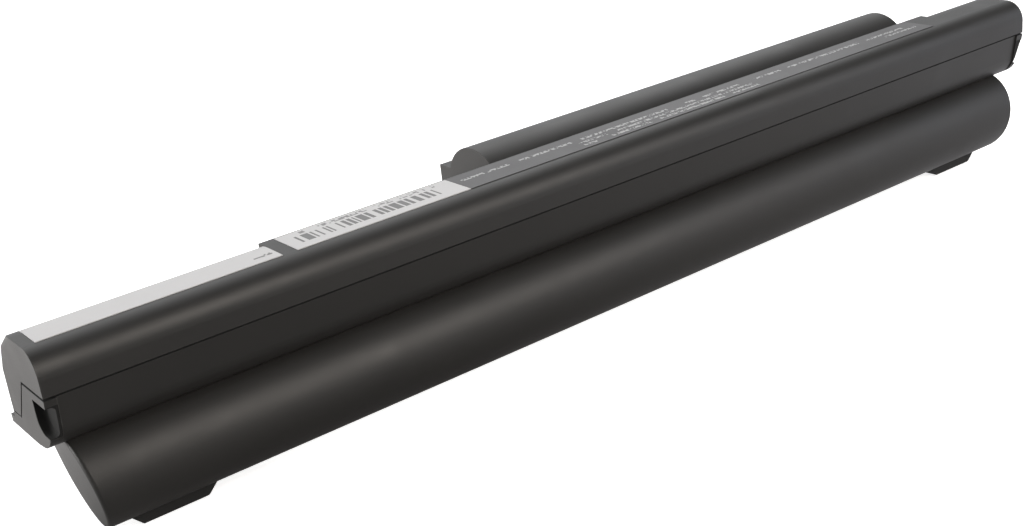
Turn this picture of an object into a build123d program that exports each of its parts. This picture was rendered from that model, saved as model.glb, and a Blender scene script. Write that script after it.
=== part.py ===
from build123d import *
import os
from math import sqrt

# Laptop battery with three rows of round cells: a long front bar, a raised block and a lower lobe.
# Millimetres. X runs along the pack, Y from its front to its back, Z up from the feet.

# Cells and how closely they sit
CELL_DIAMETER = 18.2
CELL_LENGTH = 65.0
CELL_FIT = 0.1
CELL_GAP = 2.5
ROW_GAP = 0.3
LOWER_ROW_GAP = 0.9
BLOCK_DROP = 0.7

# Case
PAD_ROOM = 2.55
WALL = 1.0
END_WALL = 1.3
LOBE_WALL = 1.4
PANEL_ROOM = 0.6
PANEL_STEP = 0.45
PANEL_SLANT = 1.7
PANEL_FOOT_DROP = 9.0
PANEL_FOOT_RADIUS = 6.0
LOBE_LEAD = 1.7
NOSE_RADIUS = 5.0
SEAM_RISE = 1.9
REAR_SEAM_DROP = 6.7
SEAM_LAP_NEAR = 10.5
SEAM_LAP_FAR = 15.9
SEAM_GROOVE = 0.3
SEAM_GROOVE_DEPTH = 0.5
RAIL_LIP = 1.1
RAIL_LIP_HEIGHT = 1.9
END_FRAME = 2.4
END_FRAME_RISE = 0.3
REAR_END_RADIUS = 1.4
CROWN_END_RADIUS = 1.7
CROWN_TILTS = (25, 55)

# Deck plate, block, connector bay
BLOCK_END_ROOM = 2.75
BLOCK_SHIFT = 44.5
BAY_LENGTH = 62.0
DECK_BACK = 14.9
DECK_PLATE = 1.4
VALLEY_DROP = 4.9
LEDGE_DEPTH = 3.3
LEDGE_RISE = 3.9
BAY_TOP_DROP = 12.8
CASE_CORNER = 1.6

# Guide notches in the end frames
NOTCH_DEPTH_X = 1.8
NOTCH_TOP_DROP = 2.0
NOTCH_HEIGHT = 6.4
NOTCH_REACH = 6.4
NOTCH_CORNER = 3.0
NOTCH_ROUND = 1.0
NOTCH_BACK = 0.8
TAB_LENGTH = 0.3
SLANT_DEPTH_X = 2.2
SLANT_DEPTH_Y = 9.0
LIP_SHORTER = 0.8

# Lower lobe ends and feet
LOBE_INSET = 6.3
LOBE_SHIFT = 1.1
LOBE_DRAFT_ANGLE = 10.2
LOBE_PLAN_ANGLE = 3.0
LOBE_END_ROUND = 0.7
FOOT_HEIGHT = 1.8
LEFT_FOOT_INSET = 20.5
RIGHT_FOOT_INSET = 23.4
FOOT_BOTTOM_LENGTH = 12.9
FOOT_TOP_LENGTH = 18.6
FOOT_FRONT = 3.8
FOOT_BACK = 8.6
FOOT_SLOPE_HEIGHT = 2.9
FOOT_ROUND = 0.7

# Labels
LABEL_THICKNESS = 0.15
LABEL_FRONT = 5.0
LABEL_BACK_NARROW = 12.9
LABEL_BACK_WIDE = 14.3
LABEL_MARGIN = 2.5
WIDE_LABEL_MARGIN = 3.2
BAR_LABEL_LENGTH = 41.0
LABEL_GAP = 0.1
LONG_LABEL_MARGIN = 7.7

# Ribs, board and connector
RIB = 1.2
RIB_SHARE = 0.28
BOARD_THICKNESS = 1.0
BOARD_STANDOFF = 0.3
BOARD_DEPTH = 15.5
BOARD_FIT = 1.6
BOARD_REAR_GAP = 4.2
POST_RADIUS = 1.3
POST_INSET = 2.4

# Parts on the board: length, depth and height, and where each sits as shares of the board
GAUGE_CHIP = (7.6, 4.2, 1.2)
GAUGE_PLACE = (0.36, 0.42)
GAUGE_LEGS = 8
PROTECTION_CHIP = (5.0, 3.2, 1.0)
PROTECTION_PLACE = (0.55, 0.4)
PROTECTION_LEGS = 5
POWER_SWITCH = (5.0, 4.0, 1.4)
LEFT_SWITCH_PLACE = (0.07, 0.62)
RIGHT_SWITCH_PLACE = (0.94, 0.7)
SWITCH_LEGS = 4
SENSE_RESISTOR = (6.4, 3.2, 0.7)
RESISTOR_PLACE = (0.7, 0.42)
THERMAL_FUSE = (6.0, 3.4, 2.0)
FUSE_PLACE = (0.93, 0.4)
CAPACITOR = (1.0, 1.9, 0.8)
CAPACITOR_PLACE = (0.24, 0.12)
LEG_THICKNESS = 0.2
LEG_REACH = 0.8
CAPACITOR_COUNT = 5
CAPACITOR_STEP = 0.035
SHEET_THICKNESS = 0.2
THERMISTOR_RADIUS = 1.2
THERMISTOR_SHARE = 0.45
CONNECTOR_LENGTH = 33.0
CONNECTOR_HEIGHT = 4.6
CONNECTOR_DEPTH = 9.0
CONNECTOR_FIT = 0.15
BLADE_COUNT = 8
BLADE_PITCH = 3.6
BLADE_SLOT = 1.0
BLADE_THICKNESS = 0.4
BLADE_SINK = 1.2
SLOT_DEPTH = 6.5
SLOT_FLOOR = 0.6

# Cell details and nickel links
CAP_RADIUS = 3.2
CAP_HEIGHT = 0.9
RING_THICKNESS = 0.25
RING_EDGE = 1.3
LINK_WIDTH = 8.0
LINK_THICKNESS = 0.2
TAIL_HALF = 0.7
LOWER_PAD = 1.6
PAD_SIDE = 10.5
LEAD_THICKNESS = 0.4
LEAD_HEIGHT = 1.8
LEAD_BEND = 2.4
LEAD_LANDING = 1.6
LEAD_GAP = 0.76
NEGATIVE_SHARE = 0.07
LOWER_NEGATIVE_SHARE = 0.15
LOWER_POSITIVE_SHARE = 0.7
POSITIVE_SHARE = 0.82
SENSE_LEAD_SETBACK = 4.6
SLOT_ROOM = 0.3

# Places that follow from the sizes above
cell_radius = CELL_DIAMETER / 2
bore_radius = cell_radius + CELL_FIT
row_radius = bore_radius + WALL
lobe_radius = bore_radius + LOBE_WALL
cell_pitch = CELL_LENGTH + CELL_GAP
pack_length = 4 * CELL_LENGTH + 3 * CELL_GAP + 2 * (PAD_ROOM + END_FRAME)
half_length = pack_length / 2
bar_to_lobe = PANEL_ROOM + row_radius - (lobe_radius - LOBE_LEAD)
bar_to_block = sqrt((CELL_DIAMETER + ROW_GAP) ** 2 - BLOCK_DROP ** 2)
pack_depth = LOBE_LEAD + PANEL_ROOM + row_radius + bar_to_block + row_radius + LEDGE_DEPTH
front_y = LOBE_LEAD - pack_depth / 2
back_y = pack_depth / 2
bar_y = front_y + PANEL_ROOM + row_radius
low_y = bar_y - bar_to_lobe
block_y = bar_y + bar_to_block
low_z = FOOT_HEIGHT + lobe_radius
lobe_back_y = low_y + lobe_radius
bar_z = low_z + sqrt((CELL_DIAMETER + LOWER_ROW_GAP) ** 2 - bar_to_lobe ** 2)
block_z = bar_z - BLOCK_DROP
deck_z = bar_z + row_radius
floor_z = bar_z - row_radius
block_floor_z = block_z - row_radius
seam_z = bar_z + SEAM_RISE
rear_seam_z = bar_z - REAR_SEAM_DROP
bar_back_y = bar_y + row_radius
ledge_z = block_z + LEDGE_RISE
valley_z = deck_z - VALLEY_DROP
bay_top_z = deck_z - BAY_TOP_DROP
notch_back_x = half_length - SLANT_DEPTH_X - NOTCH_BACK
notch_top_z = seam_z - NOTCH_TOP_DROP
notch_low_z = notch_top_z - NOTCH_HEIGHT
block_half = CELL_LENGTH + CELL_GAP / 2 + BLOCK_END_ROOM + WALL
block_start = BLOCK_SHIFT - block_half
wide_start = block_start - BAY_LENGTH
wide_end = BLOCK_SHIFT + block_half
lobe_half = half_length - LOBE_INSET
lower_stop = cell_pitch + CELL_LENGTH / 2 + LINK_THICKNESS + LOWER_PAD
board_start = wide_start + BOARD_FIT
board_end = block_start - BOARD_FIT
board_back_y = back_y - BOARD_REAR_GAP
board_z = block_floor_z + WALL + BOARD_STANDOFF
board_top_z = board_z + BOARD_THICKNESS
board_front_y = board_back_y - BOARD_DEPTH
bay_centre_x = (wide_start + block_start) / 2
lead_z = board_top_z + LEAD_HEIGHT / 2
outer_lead = (bar_back_y - WALL - LEAD_GAP, lead_z)
inner_lead = (outer_lead[0] - LEAD_THICKNESS - 2 * LEAD_GAP, lead_z)
sense_lead = (bar_back_y + SENSE_LEAD_SETBACK, lead_z)


def prism(section, start, end):
    """Carry a section drawn in the Y-Z plane along X."""
    return extrude(Plane.YZ.offset(start) * section, amount=end - start)


def at_both_ends(section, inner, outer):
    """The same section at both ends of the pack, between two distances from its middle."""
    return prism(section, -outer, -inner) + prism(section, inner, outer)


def span(x, y, z):
    """A box between three pairs of limits."""
    size = Box(x[1] - x[0], y[1] - y[0], z[1] - z[0])
    return Pos((x[0] + x[1]) / 2, (y[0] + y[1]) / 2, (z[0] + z[1]) / 2) * size


def area(y, z):
    """A rectangle in the Y-Z plane between two pairs of limits."""
    return Pos((y[0] + y[1]) / 2, (z[0] + z[1]) / 2) * Rectangle(y[1] - y[0], z[1] - z[0])


def rounded(section, y, z, radius):
    """Round the corner of a section that lies nearest to a point."""
    corner = section.vertices().sort_by_distance((y, z, 0))[0]
    return fillet(corner, radius)


# Sections of the case

def bar_section(set_back, rise=0.0):
    """Front bar: round nose, flat deck, round back, and a panel that slants in under the seam."""
    floor = floor_z + rise
    nose = area((front_y, bar_y), (seam_z, deck_z))
    nose = rounded(nose, front_y, deck_z, NOSE_RADIUS)
    panel_top = front_y + set_back
    panel_foot = (panel_top + PANEL_SLANT, bar_z - PANEL_FOOT_DROP)
    panel = Polygon((panel_top, seam_z), panel_foot, (low_y, floor), (bar_y, floor),
                    (bar_y, seam_z), align=None)
    panel = rounded(panel, *panel_foot, PANEL_FOOT_RADIUS)
    back = area((bar_y, bar_back_y), (floor, bar_z))
    crown = Pos(bar_y, bar_z) * Circle(row_radius)
    crown = crown & area((bar_y - WALL, bar_back_y), (bar_z - WALL, deck_z))
    return nose + panel + back + crown


def block_section():
    """Raised block: round over its cells, a low ledge along the back, a valley towards the bar."""
    body = area((lobe_back_y, back_y), (block_floor_z, ledge_z))
    body = rounded(body, back_y, block_floor_z, CASE_CORNER)
    valley = area((bar_y, block_y), (bar_z, valley_z))
    hump = Pos(block_y, block_z) * Circle(row_radius)
    return body + valley + hump


def deck_plate():
    """Flat plate that widens the deck over the valley."""
    return area((bar_y, front_y + DECK_BACK), (deck_z - DECK_PLATE, deck_z))


def bay_section():
    """Low bay behind the bar for the board and its connector."""
    bay = area((lobe_back_y, back_y), (block_floor_z, bay_top_z))
    return rounded(bay, back_y, bay_top_z, CASE_CORNER)


def lobe_section(radius, top):
    """Lower lobe: round below, with a straight back up to the case above."""
    return Pos(low_y, low_z) * Circle(radius) + area((low_y, low_y + radius), (low_z, top))


def lobe_ends(inset):
    """A bound for the lower lobe: its ends draw in towards the feet and towards the back."""
    block = Box(2 * pack_length, 4 * pack_depth, 4 * pack_depth)
    for side in (-1, 1):
        place = Pos(side * (lobe_half - inset) - LOBE_SHIFT, low_y, low_z)
        tilt = Rot(0, side * LOBE_DRAFT_ANGLE, side * LOBE_PLAN_ANGLE)
        beyond = Box(2 * pack_length, 8 * pack_depth, 8 * pack_depth)
        block -= place * tilt * Pos(side * pack_length, 0, 0) * beyond
    return block


# Outer bodies and hollows

def bar_and_block():
    """Everything above the lower lobe, still solid."""
    inner = half_length - END_FRAME
    body = prism(bar_section(PANEL_STEP), -inner, inner)
    body += at_both_ends(bar_section(0.0, END_FRAME_RISE), inner, half_length)
    body = body & rounded_rear_ends(0, REAR_END_RADIUS)
    for tilt in CROWN_TILTS:
        body = body & rounded_rear_ends(tilt, CROWN_END_RADIUS)
    body += prism(block_section(), block_start, wide_end)
    body += prism(bay_section(), wide_start, block_start)
    body += prism(deck_plate(), wide_start, wide_end)
    lip = area((bar_y, bar_back_y + RAIL_LIP), (floor_z + END_FRAME_RISE, floor_z + RAIL_LIP_HEIGHT))
    body += prism(lip, -half_length, half_length)
    return body


def rounded_rear_ends(tilt, radius):
    """A bound for the front bar that rounds its rear ends, in plan or tilted up to the crown."""
    back = row_radius + CELL_FIT
    plan = Pos(0, back - pack_depth) * Rectangle(pack_length, 2 * pack_depth)
    plan = fillet(plan.vertices().group_by(Axis.Y)[-1], radius)
    return Pos(0, bar_y, bar_z) * Rot(tilt, 0, 0) * extrude(plan, amount=pack_depth, both=True)


def lower_lobe(radius, inset, top):
    """The lower lobe as a solid between its two drafted ends."""
    return prism(lobe_section(radius, top), -half_length, half_length) & lobe_ends(inset)


def round_lobe():
    """The outside of the lower lobe with its end edges rounded."""
    lobe = lower_lobe(lobe_radius, 0.0, bar_z)
    ends = lobe.faces().sort_by(Axis.X)
    rims = ends[0].edges() + ends[-1].edges()
    return fillet(rims.sort_by(Axis.Z)[:-2], LOBE_END_ROUND)


def cavities():
    """The hollows for the front bar, the block and the bay, one wall inside the outside."""
    front = bar_section(PANEL_STEP)
    bar = offset(front, amount=-WALL)
    block = offset(front + block_section(), amount=-WALL)
    bay = offset(front + bay_section(), amount=-WALL)
    hollow = prism(bar, END_FRAME - half_length, half_length - END_FRAME)
    hollow += prism(block, block_start + WALL, wide_end - WALL)
    hollow += prism(bay, wide_start + WALL, block_start - WALL)
    return hollow


def cell_rows():
    """Name, axis, number of cells, middle and half distance between the stops of each row."""
    return (
        ("bar", (bar_y, bar_z), 4, 0.0, half_length - END_FRAME),
        ("block", (block_y, block_z), 2, BLOCK_SHIFT, block_half - WALL),
        ("lower", (low_y, low_z), 3, 0.0, lower_stop),
    )


def cell_middles(count, middle):
    """Places of the cells of one row along X."""
    first = middle - cell_pitch * (count - 1) / 2
    return [first + cell_pitch * i for i in range(count)]


def bore(axis):
    """The round hole that a row of cells needs, in the Y-Z plane."""
    return Pos(*axis) * Circle(bore_radius)


def rib_places(count, middle):
    """Two ribs under each cell of a row, at equal distances from its middle."""
    reach = CELL_LENGTH * RIB_SHARE
    return [place + side * reach for place in cell_middles(count, middle) for side in (-1, 1)]


def cradle_ribs():
    """Thin ribs that fill the corners in front of the bar and behind the block."""
    bar = offset(bar_section(PANEL_STEP), amount=-WALL / 2)
    bar = bar & area((front_y, bar_y), (floor_z, deck_z))
    block = offset(block_section(), amount=-WALL / 2) & area((block_y, back_y), (block_floor_z, deck_z))
    ribs = Part()
    for section, axis, count, middle in (
            (bar, (bar_y, bar_z), 4, 0.0),
            (block, (block_y, block_z), 2, BLOCK_SHIFT)):
        for place in rib_places(count, middle):
            ribs += prism(section - bore(axis), place - RIB / 2, place + RIB / 2)
    return ribs


def lobe_ribs():
    """Ribs under the lower cells, and the two stops that close their row."""
    section = lobe_section(lobe_radius - LOBE_WALL / 2, floor_z)
    ribs = at_both_ends(section, lower_stop, lower_stop + RIB)
    for place in rib_places(3, 0.0):
        ribs += prism(section - bore((low_y, low_z)), place - RIB / 2, place + RIB / 2)
    return ribs


def left_notch():
    """Guide notch: open to the end and to the front, under a small tab at the seam."""
    outline = area((front_y - WALL, front_y + NOTCH_REACH), (notch_low_z, notch_top_z))
    outline = rounded(outline, front_y + NOTCH_REACH, notch_low_z, NOTCH_CORNER)
    cut = prism(outline, -half_length, NOTCH_DEPTH_X - half_length)
    back_edges = cut.faces().sort_by(Axis.X)[-1].edges().filter_by(Axis.Y)
    return fillet(back_edges, NOTCH_ROUND)


def right_notch():
    """The matching notch, slanted in from its tab to a lip that is shorter than the end."""
    end = half_length + WALL
    lip = half_length - LIP_SHORTER
    side = Polygon((end, notch_top_z), (half_length - TAB_LENGTH, notch_top_z),
                   (half_length - SLANT_DEPTH_X, notch_low_z), (lip, notch_low_z),
                   (lip, 0), (end, 0), align=None)
    cut = extrude(Plane.XZ.offset(-(front_y - WALL)) * side, amount=-(SLANT_DEPTH_Y + WALL))
    return cut & span((0, end), (front_y - WALL, front_y + SLANT_DEPTH_Y), (0, notch_top_z))


def notch_backs():
    """The wall that closes each notch towards the inside."""
    outline = area((front_y, front_y + SLANT_DEPTH_Y + WALL), (floor_z, notch_top_z + WALL))
    return at_both_ends(outline, notch_back_x, half_length)


def end_grooves(lid_space):
    """A fine groove along the stepped joint on both end faces."""
    band = at_both_ends(area((front_y, back_y), (floor_z, deck_z)), half_length - SEAM_GROOVE, half_length)
    return Pos(0, -SEAM_GROOVE, -SEAM_GROOVE) * lid_space & band


def above_seam():
    """The space above the stepped joint between the top and middle cases."""
    far = 2 * pack_depth
    joint = Polygon((-far, seam_z), (front_y + SEAM_LAP_NEAR, seam_z),
                    (front_y + SEAM_LAP_FAR, rear_seam_z), (far, rear_seam_z),
                    (far, 2 * deck_z), (-far, 2 * deck_z), align=None)
    return prism(joint, -half_length, half_length)


# Cases

def case_solids():
    """Top, middle and bottom cases."""
    upper = bar_and_block()
    shell = upper - (cavities() - notch_backs()) + cradle_ribs()
    shell = shell - left_notch() - right_notch() - connector_opening() - sense_lead_slot()
    lid_space = above_seam()
    top_case = shell & lid_space
    middle_case = shell - lid_space
    inner_half = lobe_half - LOBE_SHIFT - END_WALL
    nest_y = (low_y - lobe_radius / 3, low_y + bore_radius)
    nest = span((-inner_half, inner_half), nest_y, (floor_z - WALL, rear_seam_z))
    relief = bore((bar_y, bar_z)) & area((front_y, bar_y - WALL), (floor_z + 2 * WALL, seam_z))
    middle_case -= nest + prism(relief, -notch_back_x, notch_back_x)
    middle_case += board_posts()
    groove = span((-half_length, half_length), (front_y - WALL, front_y + PANEL_STEP + SEAM_GROOVE_DEPTH),
                  (seam_z - SEAM_GROOVE, seam_z))
    middle_case -= groove + end_grooves(lid_space)
    lobe = round_lobe()
    hollow = lower_lobe(bore_radius, END_WALL, bar_z)
    bottom_case = lobe - hollow + lobe_ribs() - upper
    return top_case, middle_case, bottom_case


def connector_opening():
    """The window in the rear wall that the connector fills."""
    half = CONNECTOR_LENGTH / 2 + CONNECTOR_FIT
    z = (board_top_z - CONNECTOR_FIT, board_top_z + CONNECTOR_HEIGHT + CONNECTOR_FIT)
    return span((bay_centre_x - half, bay_centre_x + half), (back_y - CASE_CORNER - WALL, back_y), z)


def sense_lead_slot():
    """The slot in the partition that lets the sense lead through from the block to the bay."""
    y = (sense_lead[0] - LEAD_THICKNESS / 2 - SLOT_ROOM, sense_lead[0] + LEAD_THICKNESS / 2 + SLOT_ROOM)
    z = (board_top_z - SLOT_ROOM, board_top_z + LEAD_HEIGHT + SLOT_ROOM)
    return span((block_start - 2 * WALL, block_start + 2 * WALL), y, z)


def board_posts():
    """Four posts that carry the board over the floor of the bay."""
    posts = Part()
    for x in (board_start + POST_INSET, board_end - POST_INSET):
        for y in (board_front_y + POST_INSET, board_back_y - POST_INSET):
            post = Cylinder(POST_RADIUS, BOARD_STANDOFF + WALL / 2)
            posts += Pos(x, y, board_z - (BOARD_STANDOFF + WALL / 2) / 2) * post
    return posts


def foot(middle):
    """A rubber foot with sloped ends, its top shaped to the lower lobe."""
    y = (low_y - FOOT_FRONT, low_y + FOOT_BACK)
    half_low = FOOT_BOTTOM_LENGTH / 2
    half_top = FOOT_TOP_LENGTH / 2
    side = Polygon((middle - half_low, 0), (middle + half_low, 0), (middle + half_top, FOOT_SLOPE_HEIGHT),
                   (middle + half_top, low_z), (middle - half_top, low_z),
                   (middle - half_top, FOOT_SLOPE_HEIGHT), align=None)
    block = extrude(Plane.XZ.offset(-y[0]) * side, amount=-(y[1] - y[0]))
    block = fillet(block.edges().group_by(Axis.Z)[0], FOOT_ROUND)
    return block - lower_lobe(lobe_radius, 0.0, bar_z)


def label(start, end, under, back):
    """A printed label that follows the section it lies on."""
    film = offset(under, amount=LABEL_THICKNESS) - under
    film = film & area((front_y + LABEL_FRONT, front_y + back), (bar_z, 2 * deck_z))
    return prism(film, start, end)


def labels():
    """One label on the plain end of the bar and two on its wide deck."""
    narrow = bar_section(0.0)
    wide = narrow + deck_plate()
    bar_start = wide_start + WIDE_LABEL_MARGIN
    bar_end = bar_start + BAR_LABEL_LENGTH
    return {
        "end_label": label(LABEL_MARGIN - half_length, wide_start - LABEL_GAP, narrow, LABEL_BACK_NARROW),
        "bar_label": label(bar_start, bar_end, wide, LABEL_BACK_WIDE),
        "long_label": label(bar_end + LABEL_GAP, wide_end - LONG_LABEL_MARGIN, wide, LABEL_BACK_WIDE),
    }


# Cells and their links

def cell(axis, middle):
    """A wrapped round cell with a raised positive cap."""
    start = middle - CELL_LENGTH / 2
    end = middle + CELL_LENGTH / 2
    can = prism(Pos(*axis) * Circle(cell_radius), start, end - CAP_HEIGHT)
    return can + prism(Pos(*axis) * Circle(CAP_RADIUS), end - CAP_HEIGHT, end)


def ring_set(axis, middles):
    """Paper insulator rings round the positive caps of one row."""
    ring = Circle(cell_radius - RING_EDGE) - Circle(CAP_RADIUS + CELL_FIT)
    rings = Part()
    for middle in middles:
        face = middle + CELL_LENGTH / 2 - CAP_HEIGHT
        rings += prism(Pos(*axis) * ring, face, face + RING_THICKNESS)
    return rings


def middle_link(axis, x):
    """A nickel link folded between two cells: two flat tabs joined by a bend at the top."""
    y = (axis[0] - LINK_WIDTH / 2, axis[0] + LINK_WIDTH / 2)
    top = axis[1] + LINK_WIDTH / 2
    z = (axis[1] - LINK_WIDTH / 2, top)
    left = span((x - CELL_GAP / 2, x - CELL_GAP / 2 + LINK_THICKNESS), y, z)
    right = span((x + CELL_GAP / 2 - LINK_THICKNESS, x + CELL_GAP / 2), y, z)
    fold = span((x - CELL_GAP / 2, x + CELL_GAP / 2), y, (top - LINK_THICKNESS, top))
    return left + right + fold


def end_link(axis, face, side, tail):
    """A flat nickel tab on the last cell of a row, with a tail that runs to the lead it serves."""
    half = LINK_WIDTH / 2
    tab = area((axis[0] - half, axis[0] + half), (axis[1] - half, axis[1] + half))
    near, far = sorted((axis[0], tail[0]))
    low, high = sorted((axis[1], tail[1]))
    corner = (tail[0], axis[1]) if axis[1] < tail[1] else (axis[0], tail[1])
    stem_y = (corner[0] - TAIL_HALF, corner[0] + TAIL_HALF)
    arm = area((near - TAIL_HALF, far + TAIL_HALF), (corner[1] - TAIL_HALF, corner[1] + TAIL_HALF))
    stem = area(stem_y, (low - TAIL_HALF, high + TAIL_HALF))
    return prism(tab + arm + stem, *sorted((face, face + side * LINK_THICKNESS)))


def end_pad(axis, face, side, stop):
    """A square foam pad between the last tab of a row and its stop."""
    start = face + side * LINK_THICKNESS
    return prism(Pos(*axis) * Rectangle(PAD_SIDE, PAD_SIDE), *sorted((start, stop))) - notch_backs()


def row_parts(name, axis, count, middle, stop):
    """Cells, rings, links and pads of one row, by node name."""
    middles = cell_middles(count, middle)
    parts = {}
    for number, place in enumerate(middles, 1):
        parts[f"{name}_cell_{number}"] = cell(axis, place)
    parts[f"{name}_cell_rings"] = ring_set(axis, middles)
    first = middles[0] - CELL_LENGTH / 2
    last = middles[-1] + CELL_LENGTH / 2
    tails = lead_tails(name, axis)
    parts[f"{name}_link_1"] = end_link(axis, first, -1, tails[0])
    for number, place in enumerate(middles[:-1], 2):
        parts[f"{name}_link_{number}"] = middle_link(axis, place + cell_pitch / 2)
    parts[f"{name}_link_{count + 1}"] = end_link(axis, last, 1, tails[1])
    near_pad = end_pad(axis, first, -1, middle - stop)
    parts[f"{name}_end_pads"] = near_pad + end_pad(axis, last, 1, middle + stop)
    return parts


# Board, connector and leads

def lead_tails(name, axis):
    """Where the first and last tab of a row meet their leads."""
    tails = {
        "bar": (outer_lead, outer_lead),
        "block": (sense_lead, axis),
        "lower": (inner_lead, inner_lead),
    }
    return tails[name]


def board():
    """The protection board."""
    return span((board_start, board_end), (board_front_y, board_back_y), (board_z, board_top_z))


def board_place(place):
    """A point of the board from shares of its length and depth."""
    return board_start + (board_end - board_start) * place[0], board_front_y + BOARD_DEPTH * place[1]


def on_board(place, size):
    """A component on the board, a plain block."""
    length, depth, height = size
    x, y = board_place(place)
    z = (board_top_z, board_top_z + height)
    return span((x - length / 2, x + length / 2), (y - depth / 2, y + depth / 2), z)


def chip(place, size, legs):
    """A moulded chip with a row of legs along its front and rear."""
    length, depth, height = size
    x, y = board_place(place)
    body = Pos(x, y, board_top_z + height / 2 + LEG_THICKNESS) * Box(length, depth, height)
    body = chamfer(body.edges().group_by(Axis.Z)[-1], height / 4)
    pitch = length / (legs + 1)
    foot_y = (y - depth / 2 - LEG_REACH, y + depth / 2 + LEG_REACH)
    for i in range(legs):
        middle = x - length / 2 + pitch * (i + 1)
        x_limits = (middle - pitch / 4, middle + pitch / 4)
        body += span(x_limits, foot_y, (board_top_z, board_top_z + 2 * LEG_THICKNESS))
    return body


def slot_places():
    """Places of the blades of the connector along X."""
    first = bay_centre_x - BLADE_PITCH * (BLADE_COUNT - 1) / 2
    return [first + BLADE_PITCH * i for i in range(BLADE_COUNT)]


def connector_body():
    """The connector housing, with a slot for each blade, open to the rear and to the top."""
    half = CONNECTOR_LENGTH / 2
    z = (board_top_z, board_top_z + CONNECTOR_HEIGHT)
    body = span((bay_centre_x - half, bay_centre_x + half), (back_y - CONNECTOR_DEPTH, back_y), z)
    body = chamfer(body.edges().filter_by(Axis.Z).group_by(Axis.Y)[-1], CONNECTOR_FIT * 2)
    slot_z = (board_top_z + SLOT_FLOOR, board_top_z + CONNECTOR_HEIGHT - SLOT_FLOOR)
    for x in slot_places():
        slot_x = (x - BLADE_SLOT / 2, x + BLADE_SLOT / 2)
        body -= span(slot_x, (back_y - SLOT_DEPTH, back_y), slot_z)
    return body


def connector_contacts():
    """Spring blades that stand in the slots, one at each place."""
    z = (board_top_z + SLOT_FLOOR, board_top_z + CONNECTOR_HEIGHT - SLOT_FLOOR)
    blades = Part()
    for x in slot_places():
        blade_x = (x - BLADE_THICKNESS / 2, x + BLADE_THICKNESS / 2)
        blades += span(blade_x, (back_y - SLOT_DEPTH, back_y - BLADE_SINK), z)
    return blades


def lead(start, line, share):
    """A flat insulated lead on edge: along X from a tab, then round a bend onto the board."""
    x = board_start + (board_end - board_start) * share
    y, z = line
    route = FilletPolyline((start, y, z), (x, y, z), (x, board_front_y + LEAD_LANDING, z), radius=LEAD_BEND)
    across = Plane((start, y, z), x_dir=(0, 1, 0), z_dir=(x - start, 0, 0))
    return sweep(across * Rectangle(LEAD_THICKNESS, LEAD_HEIGHT), path=route)


def leads():
    """The five power and sense leads."""
    bar_end = (3 * cell_pitch + CELL_LENGTH) / 2
    low_end = (2 * cell_pitch + CELL_LENGTH) / 2
    sense_end = BLOCK_SHIFT - (cell_pitch + CELL_LENGTH) / 2 - LINK_THICKNESS
    sense_y = (sense_lead[0] - LEAD_THICKNESS / 2, sense_lead[0] + LEAD_THICKNESS / 2)
    return {
        "negative_lead": lead(-bar_end, outer_lead, NEGATIVE_SHARE),
        "lower_negative_lead": lead(-low_end, inner_lead, LOWER_NEGATIVE_SHARE),
        "lower_positive_lead": lead(low_end, inner_lead, LOWER_POSITIVE_SHARE),
        "positive_lead": lead(bar_end, outer_lead, POSITIVE_SHARE),
        "sense_lead": span((board_end - SENSE_LEAD_SETBACK, sense_end), sense_y,
                           (board_top_z, board_top_z + LEAD_HEIGHT)),
    }


def thermistor_x():
    """Place of the thermistor along X."""
    return board_start + (board_end - board_start) * THERMISTOR_SHARE


def thermistor():
    """A bead that lies against a cell of the front bar, on a short lead from the board."""
    reach = cell_radius + THERMISTOR_RADIUS
    z = board_top_z + THERMISTOR_RADIUS
    y = bar_y + sqrt(reach ** 2 - (bar_z - z) ** 2)
    return Pos(thermistor_x(), y, z) * Rot(0, 90, 0) * Cylinder(THERMISTOR_RADIUS, 2 * THERMISTOR_RADIUS)


def thermistor_lead():
    """The short lead from the thermistor to the board."""
    start = thermistor().bounding_box().max.Y
    half = LEAD_THICKNESS / 2
    return span((thermistor_x() - half, thermistor_x() + half), (start, board_front_y + LEAD_LANDING),
                (board_top_z, board_top_z + LEAD_HEIGHT))


def board_parts():
    """The board with its components, connector and leads."""
    capacitors = Part()
    for i in range(CAPACITOR_COUNT):
        place = (CAPACITOR_PLACE[0] + CAPACITOR_STEP * i, CAPACITOR_PLACE[1])
        capacitors += on_board(place, CAPACITOR)
    switches = chip(LEFT_SWITCH_PLACE, POWER_SWITCH, SWITCH_LEGS)
    switches += chip(RIGHT_SWITCH_PLACE, POWER_SWITCH, SWITCH_LEGS)
    sheet_y = (board_front_y, back_y - CONNECTOR_DEPTH - BOARD_FIT)
    sheet_z = (bay_top_z - WALL - SHEET_THICKNESS, bay_top_z - WALL)
    return {
        "circuit_board": board(),
        "gauge_chip": chip(GAUGE_PLACE, GAUGE_CHIP, GAUGE_LEGS),
        "protection_chip": chip(PROTECTION_PLACE, PROTECTION_CHIP, PROTECTION_LEGS),
        "power_switches": switches,
        "sense_resistor": on_board(RESISTOR_PLACE, SENSE_RESISTOR),
        "thermal_fuse": on_board(FUSE_PLACE, THERMAL_FUSE),
        "small_capacitors": capacitors,
        "connector_body": connector_body(),
        "connector_contacts": connector_contacts(),
        "insulator_sheet": span((board_start, board_end), sheet_y, sheet_z),
        "thermistor": thermistor(),
        "thermistor_lead": thermistor_lead(),
        **leads(),
    }


def build():
    """Every sub-part by its node name."""
    top_case, middle_case, bottom_case = case_solids()
    parts = {
        "top_case": top_case,
        "middle_case": middle_case,
        "bottom_case": bottom_case,
        "left_foot": foot(LEFT_FOOT_INSET - half_length),
        "right_foot": foot(half_length - RIGHT_FOOT_INSET),
        **labels(),
    }
    for row in cell_rows():
        parts.update(row_parts(*row))
    parts.update(board_parts())
    return parts


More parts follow.
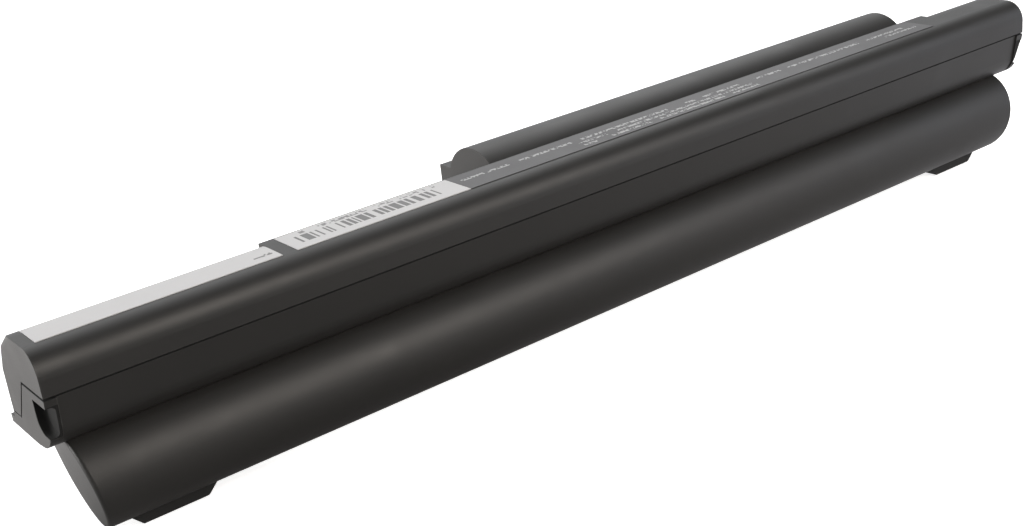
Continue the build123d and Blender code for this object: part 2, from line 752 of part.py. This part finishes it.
def main():
    """Write one file for each sub-part."""
    os.makedirs("parts", exist_ok=True)
    for name, shape in build().items():
        export_step(shape, f"parts/{name}.step")


main()
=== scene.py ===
import bpy
from collections import namedtuple
from math import radians, sin, cos
from mathutils import Matrix, Vector


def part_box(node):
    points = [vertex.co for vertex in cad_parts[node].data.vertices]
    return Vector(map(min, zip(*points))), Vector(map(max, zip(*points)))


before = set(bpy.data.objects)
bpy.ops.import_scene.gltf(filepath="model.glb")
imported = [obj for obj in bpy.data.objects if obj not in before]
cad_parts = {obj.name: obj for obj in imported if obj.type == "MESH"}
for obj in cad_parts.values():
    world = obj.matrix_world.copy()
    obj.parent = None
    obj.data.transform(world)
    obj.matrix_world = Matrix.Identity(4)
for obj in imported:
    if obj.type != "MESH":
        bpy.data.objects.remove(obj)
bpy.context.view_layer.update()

MM = 0.001
WHITE = (1.0, 1.0, 1.0)


# Camera, with sensor and lens in mm, place in metres, and azimuth, elevation and roll in degrees

CAMERA_SENSOR = 36.0
CAMERA_LENS = 51.51
CAMERA_PLACE = (-0.2027, -0.2507, 0.1379)
CAMERA_AIM = (35.45, 21.78, -6.7)
CAMERA_NEAR = 0.01


def aim(azimuth, elevation, roll):
    """Turn a camera: azimuth from +Y towards +X, downward elevation, and roll, in degrees."""
    a, e, r = radians(azimuth), radians(elevation), radians(roll)
    right = Vector((cos(a), -sin(a), 0.0))
    forward = Vector((sin(a) * cos(e), cos(a) * cos(e), -sin(e)))
    down = forward.cross(right)
    side = cos(r) * right - sin(r) * down
    up = -(sin(r) * right + cos(r) * down)
    turned = Matrix((side, up, -forward)).transposed()
    return turned.to_4x4()


def add_camera():
    """The camera that sees the object from the photo's side."""
    data = bpy.data.cameras.new("camera")
    data.sensor_width = CAMERA_SENSOR
    data.lens = CAMERA_LENS
    data.clip_start = CAMERA_NEAR
    camera = bpy.data.objects.new("camera", data)
    bpy.context.scene.collection.objects.link(camera)
    camera.matrix_world = Matrix.Translation(CAMERA_PLACE) @ aim(*CAMERA_AIM)
    bpy.context.scene.camera = camera


# Node helpers

RISING = (0.0, 1.0)
FALLING = (1.0, 0.0)
BEVEL_SAMPLES = 4

# Numbers of a Mix node's sockets when it mixes colours

MIX_FIRST = 6
MIX_SECOND = 7
MIX_RESULT = 2


def around(middle, below, above):
    """A range that reaches below and above a middle value."""
    return (middle - below, middle + above)


def opaque(colour):
    """A colour with the alpha that a colour socket needs, or a socket as it is."""
    return colour if isinstance(colour, bpy.types.NodeSocket) else (*colour, 1.0)


class Nodes:
    """A node tree, with short ways to add nodes and to join them."""

    def __init__(self, tree):
        self.tree = tree

    def add(self, kind, inputs=None, **values):
        """Add a node, set its properties, and set or link its inputs by name or number."""
        node = self.tree.nodes.new(kind)
        for key, value in values.items():
            setattr(node, key, value)
        for key, value in (inputs or {}).items():
            self.feed(node.inputs[key], value)
        return node

    def feed(self, socket, value):
        """Link a socket to another node's output, or set it to a plain value."""
        if isinstance(value, bpy.types.NodeSocket):
            self.tree.links.new(value, socket)
        else:
            socket.default_value = value

    def ray(self, kind):
        """One for rays of a kind, such as Is Camera Ray, and nothing for others."""
        return self.add("ShaderNodeLightPath").outputs[kind]

    def place(self, kind):
        """Coordinates of a kind. Object coordinates are metres in the shared frame."""
        return self.add("ShaderNodeTexCoord").outputs[kind]

    def axes(self, kind):
        """The x, y and z of coordinates of a kind."""
        return self.add("ShaderNodeSeparateXYZ", {0: self.place(kind)}).outputs

    def maths(self, operation, *values):
        """One step of arithmetic on sockets or numbers."""
        inputs = dict(enumerate(values))
        return self.add("ShaderNodeMath", inputs, operation=operation).outputs[0]

    def product(self, *values):
        """All the values multiplied together."""
        total = values[0]
        for value in values[1:]:
            total = self.maths("MULTIPLY", total, value)
        return total

    def largest(self, *values):
        """The largest of several values, which is the union of masks."""
        total = values[0]
        for value in values[1:]:
            total = self.maths("MAXIMUM", total, value)
        return total

    def between(self, value, limits):
        """One where the value lies between two limits, and nothing elsewhere."""
        low, high = limits
        return self.product(self.maths("GREATER_THAN", value, low), self.maths("LESS_THAN", value, high))

    def blend(self, factor, first, second):
        """A mix of two colours, each a colour or a socket."""
        inputs = {0: factor, MIX_FIRST: opaque(first), MIX_SECOND: opaque(second)}
        return self.add("ShaderNodeMix", inputs, data_type="RGBA").outputs[MIX_RESULT]

    def spread(self, value, limits, results):
        """A value carried from one range to another, held at the ends."""
        inputs = dict(enumerate((value, *limits, *results)))
        return self.add("ShaderNodeMapRange", inputs).outputs[0]


class Sheet(Nodes):
    """A new material: its tree, its shader and the patterns that it is made of."""

    def __init__(self, name):
        self.made = bpy.data.materials.new(name)
        self.made.use_nodes = True
        super().__init__(self.made.node_tree)
        self.shader = self.tree.nodes["Principled BSDF"]

    def shade(self, name, value):
        """Set or link one input of the shader."""
        self.feed(self.shader.inputs[name], value)

    def relief(self, strength, depth, height, **inputs):
        """Small bumps in the shader's normal."""
        inputs.update({"Strength": strength, "Distance": depth, "Height": height})
        self.shade("Normal", self.add("ShaderNodeBump", inputs).outputs[0])

    def noise(self, scale, detail):
        """Smooth noise over the object."""
        inputs = {"Vector": self.place("Object"), "Scale": scale, "Detail": detail}
        return self.add("ShaderNodeTexNoise", inputs).outputs["Fac"]

    def softened(self, radius):
        """The normal as it would be with every edge rounded by a radius."""
        return self.add("ShaderNodeBevel", {"Radius": radius}, samples=BEVEL_SAMPLES).outputs[0]

    def cells(self, x, y, step_x, step_y, share):
        """Cells of a chequered field, filled at random up to a share."""
        column = self.maths("FLOOR", self.maths("DIVIDE", x, step_x))
        row = self.maths("FLOOR", self.maths("DIVIDE", y, step_y))
        spot = self.add("ShaderNodeCombineXYZ", {0: column, 1: row}).outputs[0]
        draw = self.add("ShaderNodeTexWhiteNoise", {"Vector": spot}, noise_dimensions="2D")
        return self.maths("LESS_THAN", draw.outputs["Value"], share)


def dress(made, *nodes):
    """Give CAD nodes a material."""
    for node in nodes:
        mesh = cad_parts[node].data
        mesh.materials.clear()
        mesh.materials.append(made)


# Plain finishes, where a noise is a scale and a detail

NOISE_MIDDLE = (0.2, 0.8)
POLISH_CHANGE = (0.04, 0.05)
CLOUDS = (55.0, 3.0)
GRAIN_DETAIL = 2.0
GRAIN_DEPTH = 0.06 * MM
RUBBER = {
    "dark": (0.012, 0.012, 0.012),
    "light": (0.020, 0.020, 0.020),
    "roughness": 0.72,
    "grain": 3000.0,
    "bump": 0.5,
    "specular": 0.35,
}


def moulded(name, dark, light, roughness, grain, bump, specular=0.5, metallic=0.0):
    """A plain finish: fine grain, slow changes of tone and of polish."""
    sheet = Sheet(name)
    clouds = sheet.noise(*CLOUDS)
    sheet.shade("Base Color", sheet.blend(clouds, dark, light))
    sheet.shade("Roughness", sheet.spread(clouds, NOISE_MIDDLE, around(roughness, *POLISH_CHANGE)))
    sheet.relief(bump, GRAIN_DEPTH, sheet.noise(grain, GRAIN_DETAIL))
    sheet.shade("Specular IOR Level", specular)
    sheet.shade("Metallic", metallic)
    return sheet.made


# Case plastic

CASE_DARK = (0.0130, 0.0122, 0.0115)
CASE_LIGHT = (0.0195, 0.0182, 0.0170)
# Lighter grey of the rubbed edges: wear, and also a painted highlight along the edges
CASE_WORN_AND_HIGHLIT_EDGE = (0.055, 0.053, 0.050)
# Near black painted shade for the seam line and the notches
CASE_PAINTED_SHADE = (0.004, 0.004, 0.004)
CASE_ROUGHNESS = 0.48
CREVICE_ROUGHNESS = 0.9
CASE_CLOUDS = (38.0, 4.0)
CASE_POLISH_LIMITS = (0.25, 0.75)
CASE_POLISH_CHANGE = (0.05, 0.05)
SPARKS = (4800.0, 2.0)
SPARK_BUMP = 0.32
SPARK_DEPTH = 0.05 * MM
SMEARS = (90.0, 5.0)
SMEAR_LIMITS = (0.55, 0.75)
SMEAR_POLISH = (0.0, 0.06)
# Noise that makes the rubbed edges patchy, the wear and the painted highlight alike
EDGE_WEAR_AND_HIGHLIGHT_NOISE = (420.0, 3.0)
EDGE_WEAR_AND_HIGHLIGHT_LIMITS = (0.42, 0.62)
EDGE_WEAR_AND_HIGHLIGHT_SHARES = (0.15, 0.8)
EDGE_ROUND = 0.25 * MM
EDGE_BAND = 0.6 * MM
EDGE_TURN = (0.985, 0.90)

# Painted shade along the seam line and in the notches, placed from the middle case

MIDDLE_LOW, MIDDLE_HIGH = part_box("middle_case")
CASE_FRONT = MIDDLE_LOW[1]
CASE_END = MIDDLE_HIGH[0]
SEAM_HEIGHT = MIDDLE_HIGH[2]
# A band of painted shade at the seam, reaching further down, under the top case's lip
SEAM_SHADE_BAND = around(SEAM_HEIGHT, 0.48 * MM, 0.14 * MM)
SEAM_BACK = CASE_FRONT + 10.4 * MM
# The notches' faces get painted shade, darkened nearly to black
NOTCH_X = (CASE_END - 2.3 * MM, CASE_END - 0.1 * MM)
NOTCH_Y = (CASE_FRONT + 0.15 * MM, CASE_FRONT + 6.5 * MM)
NOTCH_Z = (SEAM_HEIGHT - 8.5 * MM, SEAM_HEIGHT - 1.8 * MM)
NOTCH_SHADE_STRENGTH = 0.9


def worn_and_highlit_edges(sheet):
    """A patchy mask of the edges, where the spark texture is worn smooth and grey; the grey also stands
    in for a highlight along the edges, so it is partly a painted highlight.
    """
    flat = sheet.add("ShaderNodeNewGeometry").outputs["Normal"]
    sides = {0: sheet.softened(EDGE_BAND), 1: flat}
    turn = sheet.add("ShaderNodeVectorMath", sides, operation="DOT_PRODUCT").outputs["Value"]
    edge = sheet.spread(turn, EDGE_TURN, RISING)
    return sheet.product(edge, sheet.spread(sheet.noise(*EDGE_WEAR_AND_HIGHLIGHT_NOISE), EDGE_WEAR_AND_HIGHLIGHT_LIMITS, EDGE_WEAR_AND_HIGHLIGHT_SHARES))


def painted_shade_masks(sheet):
    """Masks of painted shade: the seam line along the front, darkened as the shadow under the top case's
    lip, and the guide notches at both ends.
    """
    x, y, z = sheet.axes("Object")
    line = sheet.product(sheet.between(z, SEAM_SHADE_BAND), sheet.maths("LESS_THAN", y, SEAM_BACK))
    notch = sheet.product(
        sheet.between(sheet.maths("ABSOLUTE", x), NOTCH_X),
        sheet.between(y, NOTCH_Y),
        sheet.between(z, NOTCH_Z),
    )
    return line, notch


def case_finish():
    """Black moulded plastic: spark texture, edges worn grey with a painted highlight, handling marks, and
    painted shade in the seam line and the notches.
    """
    sheet = Sheet("case_plastic")
    clouds = sheet.noise(*CASE_CLOUDS)
    line, notch = painted_shade_masks(sheet)
    tone = sheet.blend(clouds, CASE_DARK, CASE_LIGHT)
    # Rubbed edges: worn grey, partly a painted highlight
    tone = sheet.blend(worn_and_highlit_edges(sheet), tone, CASE_WORN_AND_HIGHLIT_EDGE)
    # Painted shade along the seam line
    tone = sheet.blend(line, tone, CASE_PAINTED_SHADE)
    # Painted shade in the notches
    tone = sheet.blend(sheet.product(notch, NOTCH_SHADE_STRENGTH), tone, CASE_PAINTED_SHADE)
    sheet.shade("Base Color", tone)
    polish = sheet.spread(clouds, CASE_POLISH_LIMITS, around(CASE_ROUGHNESS, *CASE_POLISH_CHANGE))
    smears = sheet.spread(sheet.noise(*SMEARS), SMEAR_LIMITS, SMEAR_POLISH)
    rough = sheet.product(sheet.largest(line, notch), CREVICE_ROUGHNESS)
    sheet.shade("Roughness", sheet.largest(sheet.maths("SUBTRACT", polish, smears), rough))
    sheet.relief(SPARK_BUMP, SPARK_DEPTH, sheet.noise(*SPARKS), Normal=sheet.softened(EDGE_ROUND))
    return sheet.made


# Label films

WHITE_FILM = (0.60, 0.595, 0.60)
DARK_FILM = (0.046, 0.044, 0.046)
WHITE_INK = (0.36, 0.36, 0.36)
BLACK_INK = (0.06, 0.06, 0.06)
WHITE_FILM_ROUGHNESS = 0.45
DARK_FILM_ROUGHNESS = 0.42
FILM_POLISH_CHANGE = (0.04, 0.04)
MOTTLE = (140.0, 4.0)
MOTTLE_SHADE = 0.93
FILM_GRAIN = (900.0, 2.0)
FILM_BUMP = 0.1
FILM_DEPTH = 0.03 * MM
LABEL_LOW, LABEL_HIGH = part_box("long_label")
LABEL_FRONT = LABEL_LOW[1]
LABEL_DEPTH = LABEL_HIGH[1] - LABEL_FRONT


def printed(name, film, ink, roughness, draw):
    """A label film: slightly mottled, satin, with generic print that draw() gives as a mask."""
    sheet = Sheet(name)
    mottle = sheet.noise(*MOTTLE)
    shade = tuple(MOTTLE_SHADE * value for value in film)
    base = sheet.blend(mottle, shade, film)
    x, y = sheet.axes("Object")[:2]
    sheet.shade("Base Color", sheet.blend(draw(sheet, x, y), base, ink))
    sheet.shade("Roughness", sheet.spread(mottle, NOISE_MIDDLE, around(roughness, *FILM_POLISH_CHANGE)))
    sheet.relief(FILM_BUMP, FILM_DEPTH, sheet.noise(*FILM_GRAIN))
    return sheet.made


# Print on the labels, in mm along a label from its left end and in shares of its depth across

Row = namedtuple("Row", "start end across height tick tick_share word word_share")

WORD_DEPTH = 2.1 * MM
END_MARKS = Row(
    start=43.8, end=47.8, across=0.30, height=1.1,
    tick=0.45, tick_share=0.5, word=2.1, word_share=1.0,
)
END_STRENGTH = 0.8
BARS_ALONG = (2.7, 35.7)
BARS_ACROSS = (0.28, 0.70)
BAR_WIDTH = 0.42 * MM
BAR_CELL_DEPTH = 1000 * MM
BAR_SHARE = 0.56
BAR_STRENGTH = 0.85
SPECKS = Row(
    start=4.3, end=37.3, across=0.85, height=1.3,
    tick=0.4, tick_share=0.5, word=1.6, word_share=0.8,
)
SPECK_STRENGTH = 0.7
LONG_ROW = Row(
    start=1.5, end=147.2, across=0.62, height=1.1,
    tick=0.42, tick_share=0.55, word=2.9, word_share=0.86,
)
LONG_ROWS = (
    LONG_ROW,
    LONG_ROW._replace(start=32.2, end=86.7, across=0.40, height=1.0),
    LONG_ROW._replace(start=32.2, end=86.7, across=0.20, height=1.0),
    LONG_ROW._replace(start=135.2, end=148.7, across=0.40, height=1.0),
)


def stretch(label, start, end):
    """The x values of a start and an end on a label."""
    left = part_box(label)[0][0]
    return (left + start * MM, left + end * MM)


def row_print(sheet, x, y, label, row):
    """A row of small random ticks, in words with gaps between them."""
    middle = LABEL_FRONT + row.across * LABEL_DEPTH
    half = row.height * MM / 2
    area = sheet.product(
        sheet.between(x, stretch(label, row.start, row.end)),
        sheet.between(y, around(middle, half, half)),
    )
    ticks = sheet.cells(x, y, row.tick * MM, half, row.tick_share)
    words = sheet.cells(x, y, row.word * MM, WORD_DEPTH, row.word_share)
    return sheet.product(area, ticks, words)


def end_print(sheet, x, y):
    """A few faint marks at the right end of the plain label."""
    return sheet.product(row_print(sheet, x, y, "end_label", END_MARKS), END_STRENGTH)


def bar_print(sheet, x, y):
    """Upright bars of random width, with a row of specks behind them."""
    across = [LABEL_FRONT + share * LABEL_DEPTH for share in BARS_ACROSS]
    area = sheet.product(sheet.between(x, stretch("bar_label", *BARS_ALONG)), sheet.between(y, across))
    # The cells are far deeper than the label, so that each bar is in one piece
    cells = sheet.cells(x, y, BAR_WIDTH, BAR_CELL_DEPTH, BAR_SHARE)
    bars = sheet.product(area, cells, BAR_STRENGTH)
    specks = sheet.product(row_print(sheet, x, y, "bar_label", SPECKS), SPECK_STRENGTH)
    return sheet.largest(bars, specks)


def long_print(sheet, x, y):
    """Rows of small light ticks on the dark label."""
    return sheet.largest(*(row_print(sheet, x, y, "long_label", row) for row in LONG_ROWS))


# Inner finishes, each a dark tone, a light tone and a roughness, and the pieces that have them

INNER_GRAIN = 2500.0
INNER_BUMP = 0.15
INNER = {
    "cell_wrap": ((0.03, 0.16, 0.13), (0.05, 0.2, 0.16), 0.3),
    "paper": ((0.6, 0.58, 0.5), (0.7, 0.68, 0.6), 0.8),
    "nickel": ((0.5, 0.48, 0.45), (0.6, 0.58, 0.54), 0.3),
    "foam": ((0.05, 0.05, 0.055), (0.09, 0.09, 0.095), 0.9),
    "laminate": ((0.02, 0.13, 0.05), (0.03, 0.17, 0.07), 0.35),
    "chip": ((0.02, 0.02, 0.02), (0.035, 0.035, 0.035), 0.5),
    "ceramic": ((0.35, 0.26, 0.17), (0.45, 0.34, 0.24), 0.5),
    "pale_plastic": ((0.6, 0.6, 0.55), (0.7, 0.7, 0.65), 0.5),
    "contact": ((0.6, 0.42, 0.16), (0.75, 0.55, 0.25), 0.25),
    "red_lead": ((0.4, 0.02, 0.015), (0.5, 0.035, 0.025), 0.4),
    "black_lead": ((0.015, 0.015, 0.015), (0.025, 0.025, 0.025), 0.4),
    "blue_lead": ((0.015, 0.06, 0.3), (0.025, 0.09, 0.4), 0.4),
}
METALS = ("nickel", "contact")
BY_NAME = {
    "gauge_chip": "chip",
    "protection_chip": "chip",
    "power_switches": "chip",
    "connector_body": "chip",
    "thermistor": "chip",
    "circuit_board": "laminate",
    "sense_resistor": "ceramic",
    "small_capacitors": "ceramic",
    "thermal_fuse": "pale_plastic",
    "insulator_sheet": "pale_plastic",
    "connector_contacts": "contact",
    "positive_lead": "red_lead",
    "lower_positive_lead": "red_lead",
    "sense_lead": "blue_lead",
}
BY_KIND = {
    "_cell_rings": "paper",
    "_cell_": "cell_wrap",
    "_link_": "nickel",
    "_end_pads": "foam",
    "_lead": "black_lead",
}


def inner_finish(node):
    """The finish of an inner piece, by its name or its kind, and None for an outer piece."""
    kinds = (finish for kind, finish in BY_KIND.items() if kind in node)
    return BY_NAME.get(node) or next(kinds, None)


def dress_outside():
    """Give the case, the feet and the labels their finish."""
    dress(case_finish(), "top_case", "middle_case", "bottom_case")
    dress(moulded("foot_rubber", **RUBBER), "left_foot", "right_foot")
    dress(printed("end_film", WHITE_FILM, BLACK_INK, WHITE_FILM_ROUGHNESS, end_print), "end_label")
    dress(printed("bar_film", WHITE_FILM, BLACK_INK, WHITE_FILM_ROUGHNESS, bar_print), "bar_label")
    dress(printed("dark_film", DARK_FILM, WHITE_INK, DARK_FILM_ROUGHNESS, long_print), "long_label")


def dress_inside():
    """Give each inner piece its finish."""
    finishes = {}
    for name, (dark, light, roughness) in INNER.items():
        metallic = float(name in METALS)
        finishes[name] = moulded(name, dark, light, roughness, INNER_GRAIN, INNER_BUMP, metallic=metallic)
    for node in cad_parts:
        finish = inner_finish(node)
        if finish:
            dress(finishes[finish], node)


# Floor, backdrop and light, in metres and watts

FLOOR_SIZE = 12.0
FLOOR_DROP = 0.2 * MM
FLOOR_PALE = (0.95, 0.95, 0.95)
FLOOR_BOUNCE = (0.3, 0.3, 0.3)
FLOOR_LIFT = 0.75
FLOOR_ROUGHNESS = 0.9
FLOOR_BACK = (-0.015, 0.03)
FLOOR_RIGHT = (-0.05, 0.3)
GLOW_BACK = 1.0
GLOW_LEFT = 0.06
GLOW_RIGHT = 1.0
GLOW_WARM = (1.0, 0.97, 0.955)
GLOW_COOL = (0.89, 0.91, 1.0)
WORLD_COLOUR = (0.92, 0.94, 0.96)
WORLD_STRENGTH = 0.2
BACKDROP_STRENGTH = 0.65
BACKDROP_SIDE = (0.1, 0.4)
BACKDROP_TOP = (0.35, 0.75)

Lamp = namedtuple("Lamp", "name place target size power colour")

LAMPS = (
    Lamp("top_light", (0.1, 0.55, 0.75), (0.0, 0.0, 0.03), (1.6, 0.9), 7.9, WHITE),
    Lamp("left_light", (-0.85, 0.35, 0.14), (-0.1, 0.0, 0.03), (0.6, 0.3), 6.5, (1.0, 0.985, 0.96)),
    Lamp("nose_light", (0.22, -0.66, 0.40), (0.22, 0.0, 0.03), (0.7, 0.42), 4.1, (1.0, 0.93, 0.85)),
    Lamp("low_light", (-0.25, -0.8, 0.2), (0.0, 0.0, 0.02), (1.2, 0.25), 0.4, (1.0, 0.96, 0.9)),
    Lamp("right_light", (0.8, -0.45, 0.3), (0.1, 0.0, 0.02), (0.5, 0.5), 1.2, (0.82, 0.88, 1.0)),
)


def floor_finish():
    """White to the camera, grey to the light, and bright behind and to the right in the gloss."""
    sheet = Sheet("floor")
    to_camera = sheet.ray("Is Camera Ray")
    x, y = sheet.axes("Object")[:2]
    behind = sheet.spread(y, FLOOR_BACK, RISING)
    right = sheet.spread(x, FLOOR_RIGHT, RISING)
    front = sheet.maths("MULTIPLY_ADD", right, GLOW_RIGHT - GLOW_LEFT, GLOW_LEFT)
    front = sheet.product(sheet.maths("SUBTRACT", 1.0, behind), front)
    back = sheet.product(behind, GLOW_BACK)
    glow = sheet.product(sheet.maths("ADD", back, front), sheet.ray("Is Glossy Ray"))
    tint = sheet.blend(right, GLOW_WARM, GLOW_COOL)
    sheet.shade("Base Color", sheet.blend(to_camera, FLOOR_BOUNCE, FLOOR_PALE))
    sheet.shade("Emission Color", sheet.blend(to_camera, tint, WHITE))
    sheet.shade("Emission Strength", sheet.maths("MULTIPLY_ADD", to_camera, FLOOR_LIFT, glow))
    sheet.shade("Roughness", FLOOR_ROUGHNESS)
    return sheet.made


def add_floor():
    """The floor that the object stands on."""
    bpy.ops.mesh.primitive_plane_add(size=FLOOR_SIZE, location=(0.0, 0.0, -FLOOR_DROP))
    plane = bpy.context.object
    plane.name = "floor"
    plane.data.materials.append(floor_finish())


def add_lamp(lamp):
    """A rectangular lamp that faces its target."""
    data = bpy.data.lights.new(lamp.name, "AREA")
    data.shape = "RECTANGLE"
    data.size, data.size_y = lamp.size
    data.energy = lamp.power
    data.color = lamp.colour
    made = bpy.data.objects.new(lamp.name, data)
    made.location = lamp.place
    towards = Vector(lamp.target) - Vector(lamp.place)
    made.rotation_euler = towards.to_track_quat("-Z", "Y").to_euler()
    bpy.context.scene.collection.objects.link(made)


def add_world():
    """Soft surrounding light, with a bright backdrop behind the object in the gloss."""
    world = bpy.data.worlds.new("studio")
    world.use_nodes = True
    nodes = Nodes(world.node_tree)
    y, z = nodes.axes("Generated")[1:]
    behind = nodes.spread(y, BACKDROP_SIDE, (0.0, BACKDROP_STRENGTH))
    glow = nodes.product(behind, nodes.spread(z, BACKDROP_TOP, FALLING), nodes.ray("Is Glossy Ray"))
    light = nodes.tree.nodes["Background"].inputs
    nodes.feed(light["Color"], opaque(WORLD_COLOUR))
    nodes.feed(light["Strength"], nodes.maths("ADD", glow, WORLD_STRENGTH))
    bpy.context.scene.world = world


add_camera()
dress_outside()
dress_inside()
add_floor()
for lamp in LAMPS:
    add_lamp(lamp)
add_world()
bpy.context.scene.view_settings.view_transform = "Standard"
